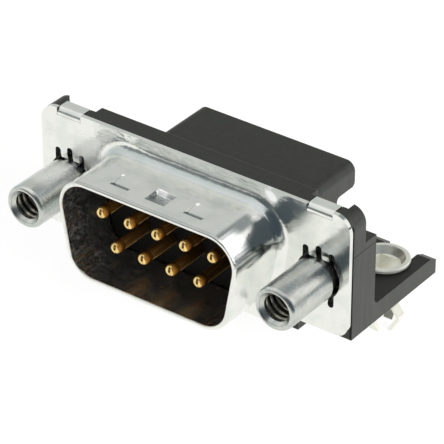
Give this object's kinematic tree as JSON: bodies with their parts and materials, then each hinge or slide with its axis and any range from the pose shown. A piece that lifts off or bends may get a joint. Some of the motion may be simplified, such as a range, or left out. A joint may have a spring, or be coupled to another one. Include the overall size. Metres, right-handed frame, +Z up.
{
  "type": "d-sub connector",
  "caption": "Right-angle board-mount D-sub plug with gold pins in a drawn metal shroud, threaded screwlocks and forked plastic feet with board locks.",
  "frame": {"origin": "centre of the D-shaped shroud, on the flat front face of the flange", "axes": "+X across the connector, to the right when the pins face the viewer with the wide side of the D on top; -Y out of the shroud, the way the mating plug leaves; +Z up, away from the circuit board"},
  "size_m": [0.0308, 0.0188, 0.0161],
  "materials": {
    "shell_plate": "bright tin-plated drawn steel",
    "black_plastic": "black glass-filled polyester, faint moulded sheen",
    "screwlock_plate": "bright nickel-plated turned metal",
    "lock_plate": "bright tin plate",
    "contact_gold": "gold-plated copper alloy"
  },
  "bodies": {
    "root": {"front_shell": "shell_plate", "front_insulator": "black_plastic", "rear_insulator": "black_plastic", "rear_hood": "black_plastic", "left_bracket": "black_plastic", "right_bracket": "black_plastic", "left_screwlock": "screwlock_plate", "right_screwlock": "screwlock_plate", "left_board_lock": "lock_plate", "right_board_lock": "lock_plate", "contact_1": "contact_gold", "contact_2": "contact_gold", "contact_3": "contact_gold", "contact_4": "contact_gold", "contact_5": "contact_gold", "contact_6": "contact_gold", "contact_7": "contact_gold", "contact_8": "contact_gold", "contact_9": "contact_gold"}
  },
  "joints": []
}
